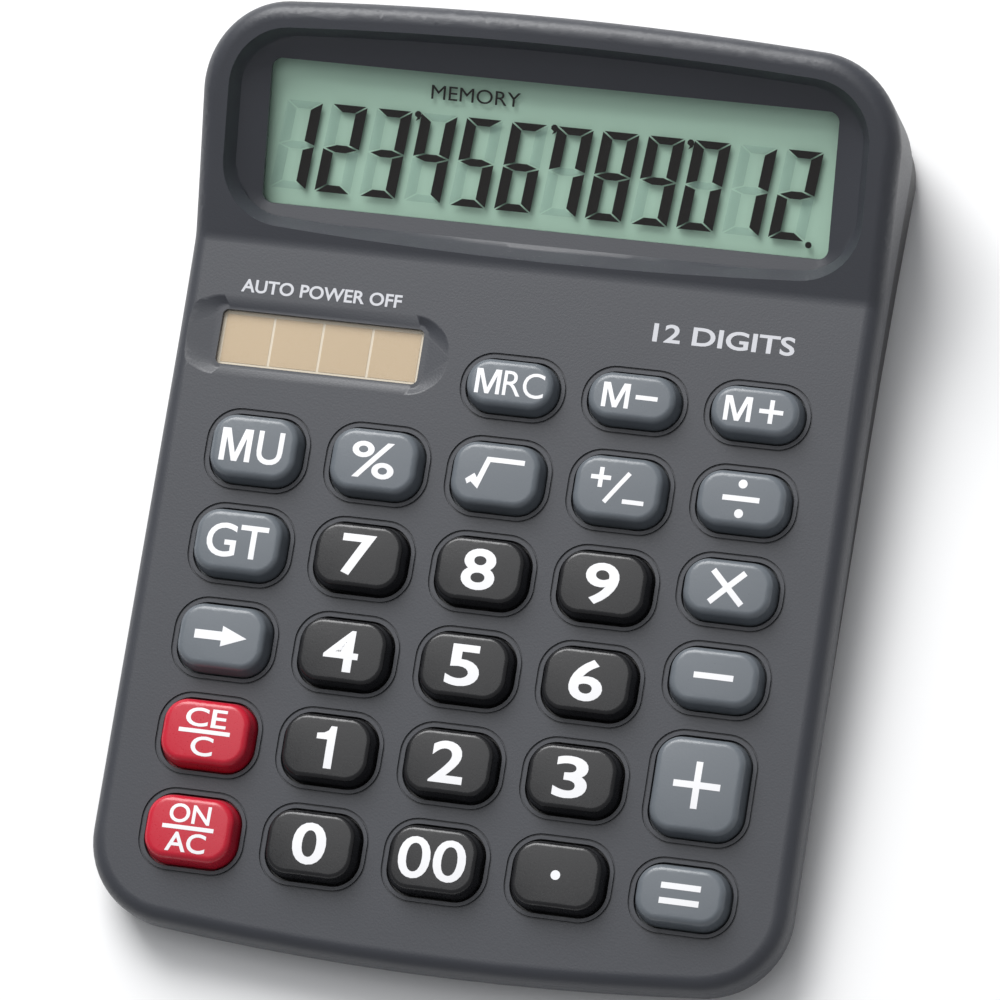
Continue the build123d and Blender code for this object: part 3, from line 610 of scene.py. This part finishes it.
legends["key_point"] = [outline_mark(disc(0.8))]
legends["key_mrc"] = [outline_mark(letter_m(4.3, 4.2, 0.68, -3.6))]
legends["key_mrc"] += [text_mark("RC", 6.9, 4.3, 0.0, (2.5, 0))]
legends["key_m_minus"] = [outline_mark(letter_m(4.6, 4.2, 0.75, -2.6), bar(3.7, 0.75, 2.6))]
legends["key_m_plus"] = [outline_mark(letter_m(4.6, 4.2, 0.75, -2.8), *cross(4.0, 0.75, 2.8))]
legends["key_mu"] = [outline_mark(letter_m(5.4, 5.6, 0.95, -2.9))]
legends["key_mu"] += [text_mark("U", 4.4, 5.7, 0.01, (3.0, 0))]
legends["key_gt"] = [text_mark("GT", 10.4, 5.8, 0.01)]
legends["key_percent"] = [text_mark("%", 7.6, 6.2, 0.01)]
legends["key_root"] = [outline_mark(root)]
legends["key_sign"] = [outline_mark(*cross(3.4, 0.75, -2.9, 1.5), bar(0.75, 6.4, 0, 0, -35))]
legends["key_sign"] += [outline_mark(bar(3.6, 0.75, 3.0, -2.2))]
legends["key_divide"] = [outline_mark(bar(6.2, 0.9), disc(0.75, 0, 2.5), disc(0.75, 0, -2.5))]
legends["key_multiply"] = [outline_mark(*cross(7.6, 1.0, turn=45))]
legends["key_subtract"] = [outline_mark(bar(6.6, 1.0))]
legends["key_add"] = [outline_mark(*cross(7.8, 1.1))]
legends["key_equals"] = [outline_mark(bar(6.6, 1.0, 0, 1.25), bar(6.6, 1.0, 0, -1.25))]
legends["key_arrow"] = [outline_mark(arrow)]
legends["key_ce"] = two_line("CE", "C")
legends["key_on"] = two_line("ON", "AC")

ink = moulded("pad_printed_ink_white", "#f2f2f4", 0.4, depth=0.004 * MM, drift=0.02)


def join(shapes, name):
    """Flat shapes as one flat shape."""
    joined = bmesh.new()
    for shape in shapes:
        part = bpy.data.meshes.new(name)
        shape.to_mesh(part)
        joined.from_mesh(part)
        bpy.data.meshes.remove(part)
        shape.free()
    return joined


def cut_grid(shape, half_width, half_height):
    """Cut a flat shape along a grid of lines, so that it can bend."""
    for half, axis in ((half_width, 0), (half_height, 1)):
        count = int(half / GRID)
        for i in range(-count, count + 1):
            line = Vector((0, 0, 0))
            line[axis] = i * GRID
            across = Vector((1 - axis, axis, 0))
            geometry = shape.verts[:] + shape.edges[:] + shape.faces[:]
            bmesh.ops.bisect_plane(shape, geom=geometry, dist=1e-7, plane_co=line, plane_no=across)


RIM_ANGLE = math.radians(40)


def face_up(shape):
    """Turn every face of a flat shape to look up."""
    for face in shape.faces:
        face.normal_update()
        if face.normal.z < 0:
            face.normal_flip()


def as_slab(piece, thickness):
    """Give a flat piece its thickness downwards, with an even face and a sharp rim."""
    slab = piece.modifiers.new("slab", "SOLIDIFY")
    slab.thickness = thickness
    slab.offset = -1
    solid = baked(piece)
    solid.shade_smooth()
    solid.set_sharp_from_angle(angle=RIM_ANGLE)
    piece.modifiers.clear()
    piece.data = solid
    return solid


def lay_down(name, shape, place, body, material, thickness=INK, fall=lambda x, y: 0.0):
    """Bend a flat shape over a face, make it a closed slab, and let it ride on a body."""
    for vertex in shape.verts:
        vertex.co.z = -fall(vertex.co.x, vertex.co.y)
    face_up(shape)
    mesh = bpy.data.meshes.new(name)
    shape.to_mesh(mesh)
    shape.free()
    piece = bpy.data.objects.new(name, mesh)
    scene.collection.objects.link(piece)
    solid = as_slab(piece, thickness)
    solid.transform(place)
    solid.materials.clear()
    solid.materials.append(material)
    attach(piece, body)
    return piece


def crown(x, y):
    """How far the ball of a key top falls away at a distance from its middle."""
    return (x * x + y * y) / (2 * CROWN_RADIUS)


for key, shapes in legends.items():
    low, high = extent(key, deck)
    middle = Vector(((low.x + high.x) / 2, (low.y + high.y) / 2, high.z + INK - INK_SINK))
    shape = join(shapes, key)
    cut_grid(shape, (high.x - low.x) / 2, (high.y - low.y) / 2)
    place = deck @ Matrix.Translation(middle)
    lay_down(f"{key}_legend", shape, place, body_of[key], ink, fall=crown)
print("printed legends:", len(legends))

# %% [markdown]
# ## Words on the deck
# Two small words are printed on the flat deck: a note beside the solar strip, and a plain
# description of the display on the right.

# %% Deck words
deck_ink = moulded("pad_printed_ink_grey", "#c9cacf", 0.45, depth=0.004 * MM, drift=0.02)
words = {
    "power_note": text_mark("AUTO POWER OFF", 27.9, 2.3, 0.02, (-35.25, 28.15)),
    "digits_note": text_mark("12 DIGITS", 24, 3.2, 0.02, (34, 27.6)),
}
for name, shape in words.items():
    lift = deck @ Matrix.Translation((0, 0, INK - INK_SINK))
    lay_down(name, shape, lift, "case", deck_ink)
print("deck words:", len(words))

# %% [markdown]
# ## The display
# A liquid crystal display is a sandwich: dark segments float in clear glass, well above a green
# reflector, so each digit drops a soft shadow below and to the side. The reflector is one slab,
# and the segments are thin slabs above it, which lets the lights draw those shadows. Segments
# that are switched off still show faintly, so a row of pale eights lies under the dark ones.
# A digit leans a little, its seven segments have mitred ends, and fine gaps part them.

# %% The reflector and the segment finishes
SEGMENT_LEVEL = -6.3 * MM
REFLECTOR_TOP = -7.1 * MM
low, high = extent("display_panel", pod)
panel_back = low.z
reflector = finish["display_glass"] = moulded(
    "brushed_reflector_green", "#c2e6d0", 0.5, depth=0.004 * MM, drift=0.02, grain=0.3 * MM
)
reflector_place = pod @ Matrix.Translation((0, 0, REFLECTOR_TOP))
depth = REFLECTOR_TOP - panel_back
panel = lay_down(
    "display_reflector", plate(low, high), reflector_place, "case", reflector, depth
)
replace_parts(panel, "display_panel")
dark = moulded("twisted_crystal_dark", "#1b1816", 0.4, depth=0.002 * MM, drift=0.1)
pale = moulded("resting_crystal", "#5f8f92", 0.4, depth=0.002 * MM, drift=0.05)
pale.node_tree.nodes["Principled BSDF"].inputs["Alpha"].default_value = 0.07
print("reflector:", round(depth / MM, 2), "mm thick")

# %% Segments in mm, from the lower left corner of a digit
DIGIT_WIDTH, DIGIT_HEIGHT = 6.2, 15.0
UPRIGHT, CROSS, GAP = 1.83, 1.25, 0.26
LEAN = math.tan(math.radians(7.6))
DIGIT_PITCH = 7.84
FIRST_RIGHT, DIGIT_TOP = -39.97, 23.75
mid = DIGIT_HEIGHT / 2
corner = math.hypot(UPRIGHT, CROSS)
waist = math.hypot(UPRIGHT, CROSS / 2)
end_gap, side_gap = GAP / 2 * corner / CROSS, GAP / 2 * corner / UPRIGHT
tip_gap, waist_gap = GAP / 2 * waist / (CROSS / 2), GAP / 2 * waist / UPRIGHT
top_bar = [
    (end_gap, DIGIT_HEIGHT),
    (UPRIGHT + end_gap, DIGIT_HEIGHT - CROSS),
    (DIGIT_WIDTH - UPRIGHT - end_gap, DIGIT_HEIGHT - CROSS),
    (DIGIT_WIDTH - end_gap, DIGIT_HEIGHT),
]
upper_left = [
    (0, DIGIT_HEIGHT - side_gap),
    (0, mid + waist_gap),
    (UPRIGHT, mid + CROSS / 2 + waist_gap),
    (UPRIGHT, DIGIT_HEIGHT - CROSS - side_gap),
]
middle_bar = [
    (tip_gap, mid),
    (UPRIGHT + tip_gap, mid - CROSS / 2),
    (DIGIT_WIDTH - UPRIGHT - tip_gap, mid - CROSS / 2),
    (DIGIT_WIDTH - tip_gap, mid),
    (DIGIT_WIDTH - UPRIGHT - tip_gap, mid + CROSS / 2),
    (UPRIGHT + tip_gap, mid + CROSS / 2),
]


def mirrored(corners, across=False, down=False):
    """A segment turned over left to right, top to bottom, or both."""
    flipped = [(DIGIT_WIDTH - x if across else x, DIGIT_HEIGHT - y if down else y) for x, y in corners]
    return flipped[::-1] if across != down else flipped


segments = {
    "a": top_bar,
    "b": mirrored(upper_left, across=True),
    "c": mirrored(upper_left, across=True, down=True),
    "d": mirrored(top_bar, down=True),
    "e": mirrored(upper_left, down=True),
    "f": upper_left,
    "g": middle_bar,
}
print("segments:", "".join(segments))

# %% Show a number
LIT = {
    "0": "abcdef", "1": "bc", "2": "abged", "3": "abgcd", "4": "fgbc",
    "5": "afgcd", "6": "afgedc", "7": "fabc", "8": "abcdefg", "9": "abcdfg",
}
SHOWN = "123456789012"


def digit_shapes(digit, position):
    """The lit segments of a digit, leaning and in its place in the row."""
    right = FIRST_RIGHT + position * DIGIT_PITCH
    left = right - DIGIT_WIDTH - DIGIT_HEIGHT * LEAN
    base = DIGIT_TOP - DIGIT_HEIGHT
    return [[(left + x + y * LEAN, base + y) for x, y in segments[name]] for name in LIT[digit]]


COMMAS = ((-23.3, 24.0), (0.31, 24.0), (23.7, 23.8))  # between the thousands
COMMA_TAIL = ((-0.1, -1.15), (-0.35, -1.75), (0.35, -1.3), (0.6, -0.8))
POINT_PLACE = (44.98, 8.23)
DOT_RADIUS = 0.6
lit = [outline for place, digit in enumerate(SHOWN) for outline in digit_shapes(digit, place)]
lit.append(disc(0.55, *POINT_PLACE))
for x, y in COMMAS:
    turns = (0.5, 1.2, 1.9, 2.7, 3.5)
    head = [(DOT_RADIUS * math.cos(t), DOT_RADIUS * (math.sin(t) - 1)) for t in turns]
    lit.append([(x + a, y + b) for a, b in (*head, *COMMA_TAIL)])
shown = join([outline_mark(*lit), text_mark("MEMORY", 15.4, 2.4, 0.0, (-13.6, 27.42))], "shown")
segment_place = pod @ Matrix.Translation((0, 0, SEGMENT_LEVEL))
lay_down("display_digits", shown, segment_place, "case", dark)
print("lit segments:", len(lit) - len(COMMAS) - 1)

# %% [markdown]
# ## Rows of the same thing
# The resting eights are one shape repeated at an even step, and so are the cells of the solar
# strip. One Geometry Nodes tree does that: a line of points, with the shape set on each. Its
# inputs are named, so the same tree serves both rows. Realize Instances turns the copies into
# real faces, and Set Material gives them their finish.

# %% A Geometry Nodes tree for a row
row_tree = bpy.data.node_groups.new("row_of_pieces", "GeometryNodeTree")
sockets = {"Piece": "NodeSocketObject", "Count": "NodeSocketInt", "Step": "NodeSocketVector"}
sockets |= {"Finish": "NodeSocketMaterial"}
socket_id = {}
for label, kind in sockets.items():
    socket = row_tree.interface.new_socket(label, in_out="INPUT", socket_type=kind)
    socket_id[label] = socket.identifier
row_tree.interface.new_socket("Row", in_out="OUTPUT", socket_type="NodeSocketGeometry")
row_in = add_node(row_tree, "NodeGroupInput", {})
line_inputs = {"Count": row_in.outputs["Count"], "Offset": row_in.outputs["Step"]}
line = add_node(row_tree, "GeometryNodeMeshLine", line_inputs, mode="OFFSET")
shape_in = add_node(row_tree, "GeometryNodeObjectInfo", {"Object": row_in.outputs["Piece"]})
spread_inputs = {"Points": line.outputs["Mesh"], "Instance": shape_in.outputs["Geometry"]}
spread = add_node(row_tree, "GeometryNodeInstanceOnPoints", spread_inputs)
real_inputs = {"Geometry": spread.outputs["Instances"]}
real = add_node(row_tree, "GeometryNodeRealizeInstances", real_inputs)
set_inputs = {"Geometry": real.outputs["Geometry"], "Material": row_in.outputs["Finish"]}
coloured = add_node(row_tree, "GeometryNodeSetMaterial", set_inputs)
add_node(row_tree, "NodeGroupOutput", {"Row": coloured.outputs["Geometry"]})
print("row tree:", len(row_tree.nodes), "nodes, inputs", ", ".join(sockets))

# %% Lay out a row


def row(name, shape, count, step, place, material, slot, thickness):
    """A slab repeated at an even step on a face of the case."""
    face_up(shape)
    seed_mesh = bpy.data.meshes.new("seed")
    shape.to_mesh(seed_mesh)
    shape.free()
    seed = bpy.data.objects.new("seed", seed_mesh)
    scene.collection.objects.link(seed)
    piece = bpy.data.objects.new(name, bpy.data.meshes.new(name))
    scene.collection.objects.link(piece)
    maker = piece.modifiers.new("row", "NODES")
    maker.node_group = row_tree
    maker[socket_id["Piece"]] = seed
    maker[socket_id["Count"]] = count
    maker[socket_id["Step"]] = step
    maker[socket_id["Finish"]] = material
    solid = as_slab(piece, thickness)
    bpy.data.objects.remove(seed)
    solid.transform(place)
    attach(piece, "case")
    return piece


RESTING_DROP = 0.02 * MM
eight = outline_mark(*digit_shapes("8", 0))
eight_place = segment_place @ Matrix.Translation((0, 0, -INK - RESTING_DROP))
eight_step = (DIGIT_PITCH * MM, 0, 0)
eights = row("resting_digits", eight, len(SHOWN), eight_step, eight_place, pale, "display_glass", INK)
print("resting digits:", len(eights.data.polygons), "faces")

# %% [markdown]
# ## The solar strip
# Amorphous silicon is laid on glass in four cells, which look tan through their clear cover.
# Fine pale lines part the cells, and a pale border runs round them.

# %% Solar strip
CELL_COUNT = 4
LINE_WIDTH = 0.45 * MM
BORDER = 0.5 * MM
silicon = moulded("amorphous_silicon_tan", "#d2bb9a", 0.3, depth=0.002 * MM, drift=0.03)
border = moulded("fired_glass_border", "#ece0ca", 0.35, depth=0.002 * MM, drift=0.02)
finish["solar_silicon"] = silicon
low, high = extent("solar_cell", deck)
window_low, window_high = extent("solar_window", deck)
backing = plate(low, high)
backing_place = deck @ Matrix.Translation((0, 0, high.z - INK))
backing_depth = high.z - INK - low.z
strip = lay_down(
    "solar_backing", backing, backing_place, "case", border, backing_depth
)
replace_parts(strip, "solar_cell")
sight_low = Vector((max(low.x, window_low.x), max(low.y, window_low.y)))
sight_high = Vector((min(high.x, window_high.x), min(high.y, window_high.y)))
cell_pitch = (sight_high.x - sight_low.x - 2 * BORDER + LINE_WIDTH) / CELL_COUNT
cell_size = ((cell_pitch - LINE_WIDTH) / MM, (sight_high.y - sight_low.y - 2 * BORDER) / MM)
first_across = sight_low.x + BORDER + (cell_pitch - LINE_WIDTH) / 2
first_cell = deck @ Matrix.Translation((first_across, (sight_low.y + sight_high.y) / 2, high.z))
cell_shape = outline_mark(bar(*cell_size))
cell_step = (cell_pitch, 0, 0)
row("solar_cells", cell_shape, CELL_COUNT, cell_step, first_cell, silicon, "solar_silicon", INK)
print("solar cells:", CELL_COUNT, "at", round(cell_pitch / MM, 2), "mm")

# %% [markdown]
# ## Materials on the CAD nodes, sizes and the end
# Each hidden CAD node takes the finish of its slot as well, so that nothing is left bare. The
# box of the CAD model and the box of the finished model are printed, one under the other.

# %% Finish
for node, slot in slot_of.items():
    mesh = frame["nodes"][node].data
    if not mesh.materials:
        mesh.materials.append(finish[slot])
    for index in range(len(mesh.materials)):
        frame["nodes"][node].material_slots[index].material = finish[slot]

visual_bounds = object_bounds()
sizes = {
    "cad": [list(corner) for corner in cad_bounds],
    "visual": [list(corner) for corner in visual_bounds],
}
for label, (low, high) in sizes.items():
    print(label, [round((b - a) / MM, 2) for a, b in zip(low, high)], "mm")
